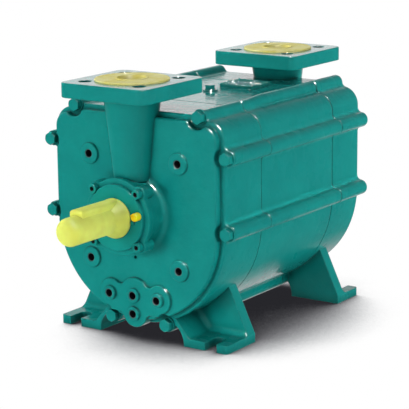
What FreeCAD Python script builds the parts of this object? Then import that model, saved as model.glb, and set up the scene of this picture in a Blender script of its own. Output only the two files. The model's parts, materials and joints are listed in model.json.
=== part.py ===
import FreeCAD, Part
import math
import os

# Liquid ring vacuum pump: single stage, foot mounted, with two upright flanged nozzles.
# Millimetres. X runs across the feet, Y along the shaft away from the drive end, Z up.
# The origin is on the floor, under the shaft and midway between the four foot slots.

# Casing outline, seen along the shaft
shaft_height = 180.0
eccentricity = 17.0
wall_half = 139.0
shoulder_rise = 10.0
shoulder_round = 26.0
deck_step = 6.0
deck_half = 102.0
lug_radius = 10.8
low_ridge_radius = 8.5
lug_blend = 7.0
side_lug_reach = 5.7
side_lug_offsets = (85.5, -14.5)
belly_lug_reach = 3.9
belly_lug_angle = 18.5
ridge_drop = 1.5

# Casing along the shaft
front_face_y = -181.0
face_plate_rise = 10.5
split_front_y = -82.5
split_rear_y = 105.0
rear_face_y = 180.0
front_joint = {"thickness": 1.0, "inset": 0.4}
rear_joint = {"thickness": 2.0, "inset": 2.5}
chamber_wall = 12.0
rim_round = 3.0

# Face plate of the drive-end cover
plate_inset = 6.5
plate_round = 2.5
scallop_margin = 5.5
scallop_blend = 4.0

# Tie bolts
tie_bolt_radius = 5.0
tie_bolt_clearance = 0.5
tie_bolt_thread_depth = 40.0
tie_head_margin = 6.0
tie_head_height = 7.5
tie_head_chamfer = 1.2
tie_washer_margin = 5.5
tie_washer_thickness = 2.0

# Nozzles and flanges
flange_gap = 21.0
flange_side = 141.0
flange_corner = 14.0
flange_thickness = 20.0
flange_round = 1.5
flange_hole_radius = 9.0
flange_pitch_circle = 125.0
nozzle_bore_radius = 25.0
nozzle_wall = 14.0
neck_foot_radius = 25.5
neck_foot_sink = 4.0
neck_lean = 3.0
neck_flare = 7.0
elbow_radius = 22.0
elbow_drop = 18.0
elbow_reach = 62.0
elbow_fall = 38.0

# Steps of the shaft
drive_length = 98.6
drive_radius = 16.0
lip_step = 1.5
bearing_step = 4.0
seal_step = 3.0
impeller_step = 2.0
shaft_chamfer = 1.5
running_gap = 0.05
side_gap = 0.5
slip = 0.02
drive_key = {"width": 10.0, "height": 8.0, "bed": 5.0, "length": 50.0}
drive_key_setback = 22.0
impeller_key = {"width": 14.0, "height": 9.0, "bed": 5.5, "length": 130.0}

# Roller bearings
bearing_height = 25.0
bearing_width = 23.0
roller_count = 10
roller_radius = 6.0
roller_gap = 0.3
roller_inset = 3.8
bearing_lip = 2.3
bearing_lip_width = 3.5
cage_thickness = 4.0
cage_inset = 1.0

# Bearing housing and its cover, in each end cover
housing_wall = 5.0
housing_length = 30.0
housing_flare = 8.0
lobe_radius = 9.6
lobe_reach = 0.6
lobe_length = 14.0
cover_screw_radius = 4.0
cover_screw_clearance = 0.1
cover_screw_length = 18.0
cover_head_radius = 6.5
cover_head_height = 8.0
cover_socket_flats = 6.0
cover_overhang = 2.5
cover_thickness = 8.4
cover_step = 6.0
spigot_length = 1.6
spigot_wall = 7.0
hub_wall = 12.0
partition_thickness = 9.0
partition_gap = 3.0

# Mechanical seals, lip seal and lock nut
seal_seat_height = 9.0
seal_seat_thickness = 8.0
seal_nose = 2.0
seal_head_length = 32.0
seal_head_height = 6.5
seal_collar_length = 8.0
seal_folds = 4
seal_face_gap = 0.1
lip_seal_setback = 4.0
lip_seal_height = 8.5
lock_nut_height = 9.0
lock_nut_width = 10.5
lock_nut_slot = 3.0
end_cap_depth = 11.0
end_cap_wall = 4.0
end_cap_gap = 5.0

# Inside of the end covers
cavity_wall = 17.0
face_wall = 12.0
rib_thickness = 12.0
port_plate_thickness = 12.0
port_plate_overlap = 3.7
port_plate_gap = 0.3
port_margin = 18.0
port_height = 38.0
suction_angles = (95.0, 170.0)
discharge_angles = (20.0, 75.0)

# Threaded ports on the drive-end face
port_radius = 6.0
port_depth = 22.0
face_port_x = 73.5
face_port_offsets = (73.0, -72.0)
face_boss_radius = 14.5
face_boss_height = 4.0
boss_round = 1.6
pad_height = 5.0
pad_ring_height = 4.6
pad_ring_radius = 9.8
pad_side_x = 39.7
pad_low_rise = 15.3
pad_side_rise = 24.2
pad_middle_rise = 25.7
pad_lobe_radius = 19.4
pad_middle_radius = 24.0
pad_blend = 8.0
drain_radius = 2.2
drain_drop = 63.0

# Feet
foot_overhang = 1.5
foot_base = 12.0
foot_wall = 9.0
foot_web = 17.5
foot_arch = 30.0
foot_toe = 3.0
foot_meet_angle = 52.6
foot_sink = 2.4
foot_pocket_round = 8.0
foot_slot_inset = 26.0
foot_slot_radius = 9.25
foot_edge_round = 5.0
front_end = {"inner_x": 70.5, "web_gap": 18.5, "slot_depth": 20.5, "seam_round": 0.4}
rear_end = {"inner_x": 61.0, "web_gap": 15.0, "slot_depth": 30.0, "seam_round": 1.5}

# Impeller
blade_count = 12
blade_thickness = 5.0
blade_curve = 90.0
blade_tip_gap = 3.0
impeller_hub_wall = 19.0
disc_inset = 15.0
disc_thickness = 6.0

# Small fittings on the drive-end bearing cover
nipple_inset = 6.3
nipple_rise = 7.0
nipple_radius = 3.4
nipple_length = 8.0
nipple_stem_length = 5.0
relief_gap = 0.8
relief_drop = 2.0
relief_radius = 2.8
relief_length = 3.6

# Transport caps and the shaft sleeve
cap_radius = 50.0
cap_thickness = 2.5
cap_plug_depth = 10.0
cap_skin = 2.0
cap_dish_radius = 19.0
cap_dish_depth = 3.3
cap_ring_width = 3.0
cap_ring_height = 0.9
cap_edge = 0.8
cap_gap = 0.6
sleeve_skin = 2.0
sleeve_gap = 0.8
sleeve_tip_round = 11.0
sleeve_tip_gap = 5.0
sleeve_channel = {"width": 20.0, "height": 7.0, "lead": 4.0, "round": 4.0}
sleeve_collar_height = 11.0
sleeve_collar_length = 18.0
sleeve_collar_rim = 2.4
loose_gap = 0.3
nipple_cap_wall = 1.8
nipple_cap_length = 9.5
nipple_strap = 4.5
nipple_strap_gap = 1.2

# Fittings on the deck
deck_pad = {"left": -16.0, "right": 40.0, "setback": 4.5, "length": 55.0, "height": 4.0}
plug_x = -4.5
plug_setback = 90.0
plug_boss_margin = 3.0
plug_boss_height = 2.0
plug_flats = 13.0
plug_head_height = 6.0
plug_thread_radius = 5.0
plug_thread_length = 10.0
ridge_rise_setback = 23.0
ridge_rise_length = 37.0

# Heights and radii that follow from the sizes above
bowl_height = shaft_height - eccentricity
shoulder_height = bowl_height + wall_half + shoulder_rise
deck_height = shoulder_height + deck_step
flange_low = deck_height + flange_gap
flange_top = flange_low + flange_thickness
elbow_height = deck_height - elbow_drop
chamber_radius = wall_half - chamber_wall
cavity_radius = wall_half - cavity_wall
port_plate_radius = chamber_radius + port_plate_overlap
lip_radius = drive_radius + lip_step
bearing_seat_radius = drive_radius + bearing_step
seal_radius = bearing_seat_radius + seal_step
impeller_seat_radius = seal_radius + impeller_step
bearing_radius = bearing_seat_radius + bearing_height
pitch_radius = (bearing_seat_radius + bearing_radius) / 2.0
housing_radius = bearing_radius + housing_wall
hub_radius = housing_radius + hub_wall
partition_bore_radius = seal_radius + partition_gap
seal_chamber_radius = seal_radius + seal_seat_height
seal_head_radius = seal_radius + seal_head_height
lock_nut_radius = bearing_seat_radius + lock_nut_height
end_cap_bore = lock_nut_radius + end_cap_gap
neck_top_radius = nozzle_bore_radius + nozzle_wall
neck_foot_height = shaft_height + housing_radius - neck_foot_sink
lobe_offset = (housing_radius + lobe_reach) * math.sqrt(0.5)
flange_hole_offset = flange_pitch_circle / 2.0 * math.sqrt(0.5)
impeller_hub_radius = impeller_seat_radius + impeller_hub_wall
impeller_tip_radius = chamber_radius - eccentricity - blade_tip_gap
tie_washer_radius = tie_bolt_radius + tie_washer_margin
tie_head_flats = 2.0 * tie_bolt_radius + tie_head_margin
sleeve_collar_radius = drive_radius + sleeve_collar_height
foot_outer_x = wall_half + foot_overhang
foot_slot_x = foot_outer_x - foot_slot_inset

# Places along the shaft that follow from the sizes above
front_rim_y = front_face_y + face_plate_rise
housing_end_y = front_face_y - housing_length
bearing_front_y = housing_end_y + spigot_length
bearing_back_y = bearing_front_y + bearing_width
cover_front_y = housing_end_y - cover_thickness
cover_nose_y = cover_front_y - cover_step
shaft_end_y = cover_nose_y - drive_length
front_cover_end = split_front_y - front_joint["thickness"] / 2.0
body_start = split_front_y + front_joint["thickness"] / 2.0
body_end = split_rear_y - rear_joint["thickness"] / 2.0
rear_cover_start = split_rear_y + rear_joint["thickness"] / 2.0
end_face_shift = -rear_face_y - front_face_y
X_AXIS = FreeCAD.Vector(1, 0, 0)
Y_AXIS = FreeCAD.Vector(0, 1, 0)
Z_AXIS = FreeCAD.Vector(0, 0, 1)
ORIGIN = FreeCAD.Vector(0, 0, 0)


def tie_bolt_places():
    """Centres (x, z) of the eight tie bolts round the casing."""
    turn = math.radians(belly_lug_angle)
    belly = wall_half + belly_lug_reach
    half = [(deck_half, deck_height - ridge_drop)]
    half += [(wall_half + side_lug_reach, shaft_height + rise) for rise in side_lug_offsets]
    half.append((belly * math.sin(turn), bowl_height - belly * math.cos(turn)))
    return [(side * x, z) for x, z in half for side in (-1, 1)]


def pad_ports():
    """Centre (x, z) and lobe radius of each port on the drain pad."""
    low = bowl_height - wall_half + pad_low_rise
    side = low + pad_side_rise
    return [(-pad_side_x, side, pad_lobe_radius), (pad_side_x, side, pad_lobe_radius),
            (0.0, low + pad_middle_rise, pad_middle_radius), (0.0, low, pad_lobe_radius)]


def lobe_places():
    """Centres (x, z) of the four bearing-cover screws."""
    return [(a * lobe_offset, shaft_height + b * lobe_offset) for a in (-1, 1) for b in (-1, 1)]


def point(x, y, z):
    return FreeCAD.Vector(x, y, z)


def bar(x, z, radius, start, end):
    """Round bar parallel to the shaft."""
    return Part.makeCylinder(radius, end - start, point(x, start, z), Y_AXIS)


def block(x0, x1, y0, y1, z0, z1):
    return Part.makeBox(x1 - x0, y1 - y0, z1 - z0, point(x0, y0, z0))


def arc(a, middle, b):
    return Part.Arc(a, middle, b).toShape()


def line(a, b):
    return Part.LineSegment(a, b).toShape()


def turned(profile, x=0.0, height=shaft_height):
    """Solid of revolution about a line along Y; profile is a closed list of (y, radius)."""
    corners = [point(x + radius, y, height) for y, radius in profile]
    face = Part.Face(Part.makePolygon(corners + corners[:1]))
    return face.revolve(point(x, 0, height), Y_AXIS, 360)


def spun(profile, y):
    """Solid of revolution about the upright line through (0, y); profile holds (z, radius)."""
    corners = [point(radius, y, z) for z, radius in profile]
    face = Part.Face(Part.makePolygon(corners + corners[:1]))
    return face.revolve(point(0, y, 0), Z_AXIS, 360)


def flare(centre, axis, radius, size):
    """Concave ring that blends a round neck of the given radius into a flat, along axis."""
    side = X_AXIS
    far = centre + axis * size
    slant = size * (1.0 - math.sqrt(0.5))
    start = centre + side * (radius + size)
    middle = centre + side * (radius + slant) + axis * slant
    end = far + side * radius
    edges = [arc(start, middle, end), line(end, far), line(far, centre), line(centre, start)]
    return Part.Face(Part.Wire(edges)).revolve(centre, axis, 360)


def edges_at(solid, y):
    """Edges of a solid that lie in the plane at y."""
    return [e for e in solid.Edges if abs(e.BoundBox.YMin - y) + abs(e.BoundBox.YMax - y) < 1e-5]


def rounded_at(solid, y, radius):
    return solid.makeFillet(radius, edges_at(solid, y))


def largest_face_at(solid, y):
    merged = solid.removeSplitter()
    faces = [f for f in merged.Faces if abs(f.BoundBox.YMin - y) + abs(f.BoundBox.YMax - y) < 1e-5]
    return max(faces, key=lambda f: f.Area)


def prism(face, start, end):
    """Face drawn at y = 0, moved to start and drawn out to end."""
    return face.translated(point(0, start, 0)).extrude(point(0, end - start, 0))


def bowl(inset=0.0):
    """Slice of the casing without its lugs: round belly, upright walls and a flat top."""
    half = wall_half - inset
    top = shoulder_height - inset
    radius = shoulder_round - inset
    centre_x = wall_half - shoulder_round
    centre_z = shoulder_height - shoulder_round
    slant = radius * math.sqrt(0.5)
    left_low = point(-half, 0, bowl_height)
    right_low = point(half, 0, bowl_height)
    right_high = point(half, 0, centre_z)
    left_high = point(-half, 0, centre_z)
    top_right = point(centre_x, 0, top)
    top_left = point(-centre_x, 0, top)
    outline = [
        arc(left_low, point(0, 0, bowl_height - half), right_low),
        line(right_low, right_high),
        arc(right_high, point(centre_x + slant, 0, centre_z + slant), top_right),
        line(top_right, top_left),
        arc(top_left, point(-centre_x - slant, 0, centre_z + slant), left_high),
        line(left_high, left_low),
    ]
    return Part.Face(Part.Wire(outline)).extrude(Y_AXIS)


def casing_outline(ridge_radius):
    """Outline of the casing with blended lugs for the tie bolts and a raised deck."""
    low = shoulder_height - shoulder_round
    slices = [block(-deck_half, deck_half, 0, 1, low, deck_height)]
    for index, (x, z) in enumerate(tie_bolt_places()):
        radius = ridge_radius if index < 2 else lug_radius
        slices.append(bar(x, z, radius, 0, 1))
    outline = largest_face_at(bowl().fuse(slices), 0)
    return outline.makeOffset2D(lug_blend).makeOffset2D(-lug_blend).Faces[0]


def plate_outline():
    """Outline of the raised face plate, scalloped round the tie-bolt heads."""
    low = shoulder_height - shoulder_round
    half = deck_half - plate_inset
    slab = bowl(plate_inset).fuse(block(-half, half, 0, 1, low, deck_height - plate_inset))
    scallop = tie_washer_radius + scallop_margin
    scallops = [bar(x, z, scallop, 0, 1) for x, z in tie_bolt_places()]
    outline = largest_face_at(slab.cut(scallops), 0)
    return outline.makeOffset2D(-scallop_blend).makeOffset2D(scallop_blend).Faces[0]


def hexagon(x, z, flats, start, end):
    """Hexagonal prism parallel to the shaft, with two corners pointing up and down."""
    corner = flats / math.sqrt(3.0)
    corners = []
    for turn in range(7):
        angle = math.radians(60 * turn + 30)
        corners.append(point(x + corner * math.cos(angle), start, z + corner * math.sin(angle)))
    return Part.Face(Part.makePolygon(corners)).extrude(point(0, end - start, 0))


def nozzle(face_y):
    """Tapered neck in front of the face, its square flange and the blends between them."""
    half = flange_side / 2.0
    plate = block(-half, half, face_y - half, face_y + half, flange_low, flange_top)
    upright = [e for e in plate.Edges if e.BoundBox.ZLength > flange_thickness / 2.0]
    plate = plate.makeFillet(flange_corner, upright)
    rim = [e for e in plate.Edges if e.BoundBox.ZLength < 1e-5]
    plate = plate.makeFillet(flange_round, rim)
    top = Part.Wire(Part.makeCircle(neck_top_radius, point(0, face_y, flange_low), Z_AXIS))
    foot_centre = point(0, face_y - neck_lean, neck_foot_height)
    foot = Part.Wire(Part.makeCircle(neck_foot_radius, foot_centre, Z_AXIS))
    neck = Part.makeLoft([foot, top], True)
    return [plate, neck, flare(point(0, face_y, flange_low), Z_AXIS * -1, neck_top_radius, neck_flare)]


def nozzle_cuts(face_y):
    """Flange bolt holes and the passage that leads down into the gas chest."""
    tools = []
    for a in (-1, 1):
        for b in (-1, 1):
            low = point(a * flange_hole_offset, face_y + b * flange_hole_offset, flange_low - 1)
            tools.append(Part.makeCylinder(flange_hole_radius, flange_thickness + 2, low))
    throat = point(0, face_y, elbow_height)
    tools.append(Part.makeCylinder(nozzle_bore_radius, flange_top, throat))
    heading = point(0, elbow_reach, -elbow_fall)
    tools.append(Part.makeCylinder(elbow_radius, heading.Length, throat, heading))
    return tools


def housing(face_y):
    """Round bearing housing with a lobe for each screw of the bearing cover."""
    end_y = face_y - housing_length
    parts = [bar(0, shaft_height, housing_radius, end_y, face_y + face_wall)]
    lobes = [bar(x, z, lobe_radius, end_y, end_y + lobe_length) for x, z in lobe_places()]
    parts += [rounded_at(lobe, end_y + lobe_length, rim_round) for lobe in lobes]
    parts.append(flare(point(0, face_y, shaft_height), Y_AXIS * -1, housing_radius, housing_flare))
    return parts


def housing_cuts(face_y, inner_y):
    """Bearing seat, partition bore, seal chamber and the tapped holes of the lobes."""
    end_y = face_y - housing_length
    seat_end = end_y + spigot_length + bearing_width
    chamber_start = seat_end + partition_thickness
    tools = [
        bar(0, shaft_height, bearing_radius + slip, end_y, seat_end),
        bar(0, shaft_height, partition_bore_radius, end_y, inner_y),
        bar(0, shaft_height, seal_chamber_radius, chamber_start, inner_y),
    ]
    hole = cover_screw_radius + cover_screw_clearance
    hole_end = end_y + cover_screw_length - cover_thickness + side_gap
    tools += [bar(x, z, hole, end_y, hole_end) for x, z in lobe_places()]
    return tools


def cavity(face_y, end_y):
    """Chests behind the face: a ring round the hub, split by a rib on each side."""
    start = face_y + face_wall
    ring = bar(0, bowl_height, cavity_radius, start, end_y)
    half = rib_thickness / 2.0
    rib = block(-wall_half, wall_half, start, end_y, shaft_height - half, shaft_height + half)
    return ring.cut([bar(0, shaft_height, hub_radius, start, end_y), rib])


def foot(side, inner_x, tip_y, web_y, slot_depth):
    """Foot with a slotted base, a curved inner wall and a cross web, open to front and outside."""
    arch_x = inner_x - foot_arch
    slant = foot_arch * math.sqrt(0.5)
    arch_start = point(inner_x, 0, foot_toe)
    arch_end = point(arch_x, 0, foot_toe + foot_arch)
    arch_middle = point(arch_x + slant, 0, foot_toe + slant)
    inside = point(arch_x, 0, bowl_height / 2.0)
    meet = math.radians(foot_meet_angle)
    reach = wall_half - foot_sink
    slope_top = point(reach * math.sin(meet), 0, bowl_height - reach * math.cos(meet))
    above = point(slope_top.x - foot_arch, 0, slope_top.z + foot_arch)
    corner = point(foot_outer_x, 0, foot_base)
    outer = point(foot_outer_x, 0, 0)
    start = point(inner_x, 0, 0)
    outline = [
        line(start, arch_start),
        arc(arch_start, arch_middle, arch_end),
        line(arch_end, inside),
        line(inside, above),
        line(above, slope_top),
        line(slope_top, corner),
        line(corner, outer),
        line(outer, start),
    ]
    solid = prism(Part.Face(Part.Wire(outline)), tip_y, web_y)
    web_front = web_y - foot_web
    wall_low = point(inner_x + foot_wall, 0, foot_base)
    wall_high = point(arch_x + foot_wall * 1.5, 0, foot_base * 3.5)
    ceiling = point(wall_high.x, 0, bowl_height)
    beyond = point(foot_outer_x * 1.2, 0, bowl_height)
    floor_out = point(foot_outer_x * 1.2, 0, foot_base)
    pocket_face = Part.Face(Part.makePolygon([wall_low, wall_high, ceiling, beyond, floor_out, wall_low]))
    pocket = prism(pocket_face, tip_y - 1, web_front)
    tight = []
    for edge in pocket.Edges:
        box = edge.BoundBox
        at_wall = box.XMax < wall_low.x + 0.01
        at_web = box.YMin > web_front - 0.01
        low_along = box.ZMax < foot_base + 0.01
        if (at_wall and at_web) or (at_wall and low_along) or (at_web and low_along):
            tight.append(edge)
    solid = solid.cut(pocket.makeFillet(foot_pocket_round, tight))
    slot_y = tip_y + slot_depth
    slot = block(foot_slot_x - foot_slot_radius, foot_slot_x + foot_slot_radius,
                 tip_y - 1, slot_y, -1, foot_base + foot_pocket_round)
    slot_end = Part.makeCylinder(foot_slot_radius, foot_base + foot_pocket_round + 1,
                                 point(foot_slot_x, slot_y, -1))
    solid = solid.cut([slot, slot_end])
    outer_edge = [e for e in solid.Edges
                  if e.BoundBox.XMin > foot_outer_x - 0.01 and e.BoundBox.YMax < tip_y + 0.01]
    solid = solid.makeFillet(foot_edge_round, outer_edge)
    return solid if side > 0 else solid.mirror(ORIGIN, X_AXIS)


def rounded_boss(x, z, radius, start, end):
    """Round boss on the face with a softened front edge."""
    return rounded_at(bar(x, z, radius, start, end), start, boss_round)


def end_cover(face_y, rim_y, end_y, ridge_radius, sizes, bolt_hole_start):
    """Cover common to both ends, in the drive-end pose: rim, housing, nozzle, feet and bores."""
    recess_y = end_y - port_plate_thickness
    rim = rounded_at(prism(casing_outline(ridge_radius), rim_y, end_y), rim_y, rim_round)
    rim = rounded_at(rim, end_y, sizes["seam_round"])
    added = housing(face_y) + nozzle(face_y)
    web_y = end_y - sizes["web_gap"]
    added += [foot(side, sizes["inner_x"], rim_y, web_y, sizes["slot_depth"]) for side in (-1, 1)]
    cuts = housing_cuts(face_y, recess_y + 1) + nozzle_cuts(face_y) + [cavity(face_y, recess_y + 1)]
    cuts.append(bar(0, bowl_height, port_plate_radius + port_plate_gap, recess_y, end_y + 1))
    hole = tie_bolt_radius + tie_bolt_clearance
    cuts += [bar(x, z, hole, bolt_hole_start, end_y + 1) for x, z in tie_bolt_places()]
    return rim, added, cuts


def front_cover():
    """Drive-end cover with its face plate, threaded ports and lobed drain pad."""
    rim, added, cuts = end_cover(front_face_y, front_rim_y, front_cover_end, low_ridge_radius,
                                 front_end, front_rim_y - 1)
    plate = prism(plate_outline(), front_face_y, front_rim_y + rim_round)
    added.append(rounded_at(plate, front_face_y, plate_round))
    pad_face_y = front_face_y - pad_height
    ring_y = pad_face_y - pad_ring_height
    lobes = [bar(x, z, radius, 0, 1) for x, z, radius in pad_ports()]
    low, side = pad_ports()[3][1], pad_ports()[0][1]
    lobes.append(block(-pad_side_x, pad_side_x, 0, 1, low, side))
    pad_outline = largest_face_at(lobes[0].fuse(lobes[1:]), 0)
    pad_outline = pad_outline.makeOffset2D(pad_blend).makeOffset2D(-pad_blend).Faces[0]
    added.append(rounded_at(prism(pad_outline, pad_face_y, front_rim_y + rim_round), pad_face_y, boss_round))
    for x, z, _ in pad_ports():
        added.append(rounded_boss(x, z, pad_ring_radius, ring_y, front_face_y))
        cuts.append(bar(x, z, port_radius, ring_y - 1, ring_y + port_depth))
    boss_y = front_face_y - face_boss_height
    for side in (-1, 1):
        for z in [shaft_height + rise for rise in face_port_offsets]:
            added.append(rounded_boss(side * face_port_x, z, face_boss_radius, boss_y, front_rim_y))
            cuts.append(bar(side * face_port_x, z, port_radius, boss_y - 1, boss_y + port_depth))
    cuts.append(bar(0, shaft_height - drain_drop, drain_radius, front_face_y - 1, front_face_y + face_wall))
    return rim.fuse(added).cut(cuts).removeSplitter()


def rear_cover():
    """Non-drive cover: plain rounded face, blind tapped tie-bolt holes."""
    thread_end = -rear_cover_start - tie_bolt_thread_depth - tie_bolt_clearance
    rim, added, cuts = end_cover(-rear_face_y, -rear_face_y, -rear_cover_start, lug_radius,
                                 rear_end, thread_end)
    return rim.fuse(added).cut(cuts).removeSplitter().mirror(ORIGIN, Y_AXIS)


def centre_body():
    """Ring body round the impeller: blended lugs, rising top ridges and the raised deck pad."""
    solid = prism(casing_outline(low_ridge_radius), body_start, body_end)
    extras = []
    rise = body_start + ridge_rise_setback
    for x, z in tie_bolt_places()[:2]:
        cone = Part.makeCone(low_ridge_radius, lug_radius, ridge_rise_length, point(x, rise, z), Y_AXIS)
        extras += [cone, bar(x, z, lug_radius, rise + ridge_rise_length, body_end)]
    pad_end = body_end - deck_pad["setback"]
    pad = block(deck_pad["left"], deck_pad["right"], pad_end - deck_pad["length"], pad_end,
                deck_height - 1, deck_height + deck_pad["height"])
    upright = [e for e in pad.Edges if e.BoundBox.ZLength > 1]
    extras.append(pad.makeFillet(lug_blend, upright))
    plug_y = body_start + plug_setback
    boss_radius = plug_flats / math.sqrt(3.0) + plug_boss_margin
    extras.append(Part.makeCylinder(boss_radius, plug_boss_height + 1, point(plug_x, plug_y, deck_height - 1)))
    hole = tie_bolt_radius + tie_bolt_clearance
    cuts = [bar(x, z, hole, body_start - 1, body_end + 1) for x, z in tie_bolt_places()]
    cuts.append(bar(0, bowl_height, chamber_radius, body_start - 1, body_end + 1))
    thread_low = deck_height + plug_boss_height - plug_thread_length
    cuts.append(Part.makeCylinder(plug_thread_radius + slip, plug_thread_length + 1,
                                  point(plug_x, plug_y, thread_low)))
    return solid.fuse(extras).cut(cuts).removeSplitter()


def gasket(ridge_radius, start, thickness, inset):
    """Jointing layer between two castings, a little inside their outline."""
    outline = casing_outline(ridge_radius).makeOffset2D(-inset).Faces[0]
    end = start + thickness
    hole = tie_bolt_radius + tie_bolt_clearance
    cuts = [bar(x, z, hole, start - 1, end + 1) for x, z in tie_bolt_places()]
    cuts.append(bar(0, bowl_height, port_plate_radius + port_plate_gap, start - 1, end + 1))
    return prism(outline, start, end).cut(cuts)


def port_plate(start, first_angle, last_angle):
    """Flat plate that closes the chamber, with one curved gas port between two angles."""
    end = start + port_plate_thickness
    plate = bar(0, bowl_height, port_plate_radius, start, end)
    inner = impeller_hub_radius + port_margin
    outer = inner + port_height
    corners = [(inner, first_angle), (outer, first_angle), (outer, last_angle), (inner, last_angle)]
    middle = (first_angle + last_angle) / 2.0

    def spot(radius, angle):
        turn = math.radians(angle)
        return point(radius * math.cos(turn), start - 1, shaft_height + radius * math.sin(turn))

    a, b, c, d = [spot(radius, angle) for radius, angle in corners]
    outline = [line(a, b), arc(b, spot(outer, middle), c), line(c, d), arc(d, spot(inner, middle), a)]
    window = Part.Face(Part.Wire(outline)).extrude(Y_AXIS * (port_plate_thickness + 2))
    shaft_hole = bar(0, shaft_height, impeller_seat_radius + side_gap, start - 1, end + 1)
    return plate.cut([window, shaft_hole])


def key_slot(sizes, radius, start, extra=0.0, height=None):
    """Round-ended key on a shaft of the given radius; with extra width it is the tool for its bed."""
    half = sizes["width"] / 2.0 + extra
    low = shaft_height + radius - sizes["bed"]
    top = low + (sizes["height"] if height is None else height)
    first = start + sizes["width"] / 2.0
    last = start + sizes["length"] - sizes["width"] / 2.0
    rounds = [Part.makeCylinder(half, top - low, point(0, y, low)) for y in (first, last)]
    return block(-half, half, first, last, low, top).fuse(rounds).removeSplitter()


def drive_key_place():
    return drive_radius, shaft_end_y + drive_key_setback


def impeller_key_place():
    return impeller_seat_radius, (body_start + body_end - impeller_key["length"]) / 2.0


def shaft():
    """Stepped shaft with two key beds, equal seats at both ends and a chamfered drive end."""
    lip_start = cover_nose_y - side_gap
    wide_start = front_cover_end - port_plate_thickness
    rear_wide = rear_cover_start + port_plate_thickness
    rear_seat = -bearing_back_y - end_face_shift
    rear_end = -bearing_front_y - end_face_shift + end_cap_depth
    profile = [
        (shaft_end_y, 0), (shaft_end_y, drive_radius - shaft_chamfer),
        (shaft_end_y + shaft_chamfer, drive_radius), (lip_start, drive_radius),
        (lip_start, lip_radius), (housing_end_y, lip_radius),
        (housing_end_y, bearing_seat_radius), (bearing_back_y, bearing_seat_radius),
        (bearing_back_y, seal_radius), (wide_start, seal_radius),
        (wide_start, impeller_seat_radius), (rear_wide, impeller_seat_radius),
        (rear_wide, seal_radius), (rear_seat, seal_radius),
        (rear_seat, bearing_seat_radius), (rear_end - shaft_chamfer, bearing_seat_radius),
        (rear_end, bearing_seat_radius - shaft_chamfer), (rear_end, 0),
    ]
    beds = [key_slot(drive_key, *drive_key_place(), slip, shaft_height),
            key_slot(impeller_key, *impeller_key_place(), slip, shaft_height)]
    return turned(profile).cut(beds)


def blade(index, start, end):
    """One forward-curved blade: two arcs about one centre, from inside the hub to the tip."""
    root = impeller_hub_radius - blade_thickness
    tip_turn = tip_angle(root)
    outer = blade_curve + blade_thickness / 2.0
    inner = blade_curve - blade_thickness / 2.0

    def spot(radius, turn):
        rise = blade_curve - radius * math.cos(turn)
        return point(root + radius * math.sin(turn), start, shaft_height + rise)

    outline = [
        arc(spot(outer, 0), spot(outer, tip_turn / 2), spot(outer, tip_turn)),
        line(spot(outer, tip_turn), spot(inner, tip_turn)),
        arc(spot(inner, tip_turn), spot(inner, tip_turn / 2), spot(inner, 0)),
        line(spot(inner, 0), spot(outer, 0)),
    ]
    solid = Part.Face(Part.Wire(outline)).extrude(Y_AXIS * (end - start))
    solid.rotate(point(0, 0, shaft_height), Y_AXIS, 360.0 * index / blade_count)
    return solid


def tip_angle(root):
    """Turn along the blade's arc at which it reaches the tip radius, found by halving."""
    low, high = 0.0, math.pi / 2.0
    for _ in range(40):
        middle = (low + high) / 2.0
        across = root + blade_curve * math.sin(middle)
        up = blade_curve * (1.0 - math.cos(middle))
        if math.hypot(across, up) < impeller_tip_radius:
            low = middle
        else:
            high = middle
    return low


def impeller():
    """Hub, curved blades and a middle disc that stiffens them."""
    start = body_start + side_gap
    end = body_end - side_gap
    middle = (start + end) / 2.0
    hub = bar(0, shaft_height, impeller_hub_radius, start, end)
    disc_radius = impeller_tip_radius - disc_inset
    disc = bar(0, shaft_height, disc_radius, middle - disc_thickness / 2.0, middle + disc_thickness / 2.0)
    blades = [blade(index, start, end) for index in range(blade_count)]
    bore = bar(0, shaft_height, impeller_seat_radius + slip, start - 1, end + 1)
    half = impeller_key["width"] / 2.0 + slip
    key_top = shaft_height + impeller_seat_radius - impeller_key["bed"] + impeller_key["height"] + side_gap
    slot = block(-half, half, start - 1, end + 1, shaft_height, key_top)
    return hub.fuse([disc] + blades).cut([bore, slot]).removeSplitter()


def ring(start, seat, track, lip):
    """Bearing ring whose track lies between two lips; seat is its fixed side."""
    end = start + bearing_width
    first = start + bearing_lip_width
    last = end - bearing_lip_width
    return turned([(start, seat), (start, lip), (first, lip), (first, track),
                   (last, track), (last, lip), (end, lip), (end, seat)])


def inner_ring(start):
    track = pitch_radius - roller_radius - roller_gap
    return ring(start, bearing_seat_radius + slip, track, track + bearing_lip)


def outer_ring(start):
    track = pitch_radius + roller_radius + roller_gap
    return ring(start, bearing_radius, track, track - bearing_lip)


def roller_places():
    """Centres (x, z) of the rollers round the shaft."""
    turns = [2.0 * math.pi * index / roller_count for index in range(roller_count)]
    return [(pitch_radius * math.cos(turn), shaft_height + pitch_radius * math.sin(turn)) for turn in turns]


def rollers(start):
    """Rollers of one bearing, between its lips."""
    first = start + roller_inset
    last = start + bearing_width - roller_inset
    return [bar(x, z, roller_radius, first, last) for x, z in roller_places()]


def cage(start):
    """Cage of one bearing: a ring with a pocket for each roller."""
    first = start + cage_inset
    last = start + bearing_width - cage_inset
    half = cage_thickness / 2.0
    body = bar(0, shaft_height, pitch_radius + half, first, last)
    hole = bar(0, shaft_height, pitch_radius - half, first - 1, last + 1)
    pocket_start = start + roller_inset - roller_gap
    pocket_end = start + bearing_width - roller_inset + roller_gap
    pockets = [bar(x, z, roller_radius + roller_gap, pocket_start, pocket_end) for x, z in roller_places()]
    return body.cut([hole] + pockets)


def bearing_starts():
    return bearing_front_y, -bearing_back_y - end_face_shift


def flipped(solid):
    """The same piece at the non-drive end, where the face lies end_face_shift nearer."""
    return solid.mirror(ORIGIN, Y_AXIS).translated(point(0, -end_face_shift, 0))


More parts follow.
